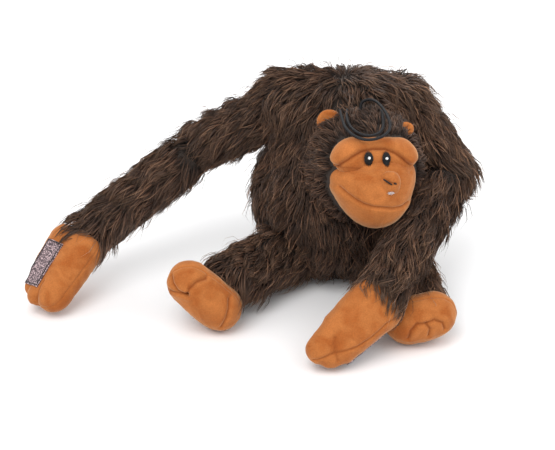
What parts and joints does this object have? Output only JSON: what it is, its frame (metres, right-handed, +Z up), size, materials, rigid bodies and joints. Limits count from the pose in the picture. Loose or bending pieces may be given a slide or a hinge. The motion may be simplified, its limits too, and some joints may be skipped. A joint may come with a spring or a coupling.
{
  "type": "stuffed monkey",
  "caption": "Soft sitting monkey with long bendable furry arms, velour face, hands and feet, fastening patches on the palms and an elastic hanging loop on the head.",
  "frame": {"origin": "centre of the flat seat panel, on the surface the monkey sits on", "axes": "+Z up; the monkey's chest faces -Y; +X is the monkey's own left"},
  "size_m": [0.4131, 0.288, 0.1896],
  "materials": {
    "long_pile_fur": "matte",
    "seat_fabric": "matte",
    "velour": "matte",
    "stuffing": "matte",
    "black_thread": "satin",
    "white_thread": "satin",
    "fastening_tape": "matte",
    "elastic_cord": "satin",
    "clear_pin": "gloss"
  },
  "bodies": {
    "torso": {"torso_fur": "long_pile_fur", "seat_panel": "seat_fabric", "torso_stuffing": "stuffing"},
    "neck": {"neck_stuffing": "stuffing"},
    "head": {"hood_fur": "long_pile_fur", "head_stuffing": "stuffing", "brow_panel": "velour", "muzzle_panel": "velour", "brow_stuffing": "stuffing", "muzzle_stuffing": "stuffing", "nose": "velour", "nostril_stitching": "black_thread", "eye_right": "black_thread", "eye_left": "black_thread", "eye_highlights": "white_thread", "tag_pin": "clear_pin"},
    "ear_flap_right": {"ear_right": "velour"},
    "ear_flap_left": {"ear_left": "velour"},
    "loop": {"hanging_loop": "elastic_cord"},
    "shoulder_right": {"shoulder_stuffing_right": "stuffing"},
    "upper_arm_right": {"upper_arm_fur_right": "long_pile_fur", "upper_arm_stuffing_right": "stuffing"},
    "forearm_right": {"forearm_fur_right": "long_pile_fur", "forearm_stuffing_right": "stuffing"},
    "hand_right": {"hand_back_right": "velour", "hand_palm_right": "velour", "hand_stuffing_right": "stuffing", "palm_patch_right": "fastening_tape"},
    "hip_right": {"hip_stuffing_right": "stuffing"},
    "leg_right": {"leg_fur_right": "long_pile_fur", "leg_stuffing_right": "stuffing"},
    "foot_right": {"foot_velour_right": "velour", "foot_stuffing_right": "stuffing"},
    "shoulder_left": {"shoulder_stuffing_left": "stuffing"},
    "upper_arm_left": {"upper_arm_fur_left": "long_pile_fur", "upper_arm_stuffing_left": "stuffing"},
    "forearm_left": {"forearm_fur_left": "long_pile_fur", "forearm_stuffing_left": "stuffing"},
    "hand_left": {"hand_back_left": "velour", "hand_palm_left": "velour", "hand_stuffing_left": "stuffing", "palm_patch_left": "fastening_tape"},
    "hip_left": {"hip_stuffing_left": "stuffing"},
    "leg_left": {"leg_fur_left": "long_pile_fur", "leg_stuffing_left": "stuffing"},
    "foot_left": {"foot_velour_left": "velour", "foot_stuffing_left": "stuffing"}
  },
  "joints": [
    {"name": "head_turn", "type": "hinge", "parent": "torso", "child": "neck", "pos_m": [0.018, -0.066, 0.132], "axis": [0, 0, -1], "range_deg": [-15, 25]},
    {"name": "head_nod", "type": "hinge", "parent": "neck", "child": "head", "pos_m": [0.018, -0.066, 0.132], "axis": [0.9781, 0.2079, 0], "range_deg": [-8, 20]},
    {"name": "ear_fold_right", "type": "hinge", "parent": "head", "child": "ear_flap_right", "pos_m": [-0.01366, -0.05171, 0.16797], "axis": [0.7719, 0.1641, 0.6142], "range_deg": [-15, 30], "stiffness_Nm_per_rad": 0.01},
    {"name": "ear_fold_left", "type": "hinge", "parent": "head", "child": "ear_flap_left", "pos_m": [0.05572, -0.05768, 0.16375], "axis": [0.6211, 0.132, -0.7725], "range_deg": [-15, 30], "stiffness_Nm_per_rad": 0.01},
    {"name": "loop_lift", "type": "hinge", "parent": "head", "child": "loop", "pos_m": [0.008, -0.037, 0.172], "axis": [-0.991, -0.1301, -0.03], "range_deg": [0, 110]},
    {"name": "shoulder_swing_right", "type": "hinge", "parent": "torso", "child": "shoulder_right", "pos_m": [-0.057, 0.012, 0.157], "axis": [0, 0, 1], "range_deg": [-45, 20]},
    {"name": "shoulder_lift_right", "type": "hinge", "parent": "shoulder_right", "child": "upper_arm_right", "pos_m": [-0.057, 0.012, 0.157], "axis": [0, 1, 0], "range_deg": [-8, 85]},
    {"name": "elbow_right", "type": "hinge", "parent": "upper_arm_right", "child": "forearm_right", "pos_m": [-0.13, -0.004, 0.126], "axis": [-0.4029, 0.5495, 0.732], "range_deg": [-15, 75]},
    {"name": "wrist_right", "type": "hinge", "parent": "forearm_right", "child": "hand_right", "pos_m": [-0.236, -0.054, 0.058], "axis": [0.6, -0.8, 0], "range_deg": [-35, 35]},
    {"name": "hip_spread_right", "type": "hinge", "parent": "torso", "child": "hip_right", "pos_m": [-0.05, -0.045, 0.033], "axis": [0, 0, -1], "range_deg": [-20, 22]},
    {"name": "hip_lift_right", "type": "hinge", "parent": "hip_right", "child": "leg_right", "pos_m": [-0.05, -0.045, 0.033], "axis": [-0.7071, 0.7071, 0], "range_deg": [-60, 5]},
    {"name": "ankle_right", "type": "hinge", "parent": "leg_right", "child": "foot_right", "pos_m": [-0.104, -0.1, 0.034], "axis": [-0.7071, 0.7071, 0], "range_deg": [-25, 25]},
    {"name": "shoulder_swing_left", "type": "hinge", "parent": "torso", "child": "shoulder_left", "pos_m": [0.059, 0.012, 0.16], "axis": [-0.7071, 0, 0.7071], "range_deg": [0, 40]},
    {"name": "shoulder_lift_left", "type": "hinge", "parent": "shoulder_left", "child": "upper_arm_left", "pos_m": [0.059, 0.012, 0.16], "axis": [-0.65, -0.76, 0], "range_deg": [0, 85]},
    {"name": "elbow_left", "type": "hinge", "parent": "upper_arm_left", "child": "forearm_left", "pos_m": [0.102, -0.028, 0.108], "axis": [-0.6104, 0.3562, 0.7075], "range_deg": [0, 80]},
    {"name": "wrist_left", "type": "hinge", "parent": "forearm_left", "child": "hand_left", "pos_m": [0.034, -0.15, 0.056], "axis": [0.8, -0.6, 0], "range_deg": [-40, 8]},
    {"name": "hip_spread_left", "type": "hinge", "parent": "torso", "child": "hip_left", "pos_m": [0.052, -0.044, 0.032], "axis": [0, 0, 1], "range_deg": [0, 40]},
    {"name": "hip_lift_left", "type": "hinge", "parent": "hip_left", "child": "leg_left", "pos_m": [0.052, -0.044, 0.032], "axis": [-0.9527, -0.304, 0], "range_deg": [-55, 0]},
    {"name": "ankle_left", "type": "hinge", "parent": "leg_left", "child": "foot_left", "pos_m": [0.063, -0.116, 0.028], "axis": [-0.9527, -0.304, 0], "range_deg": [-25, 3]}
  ]
}
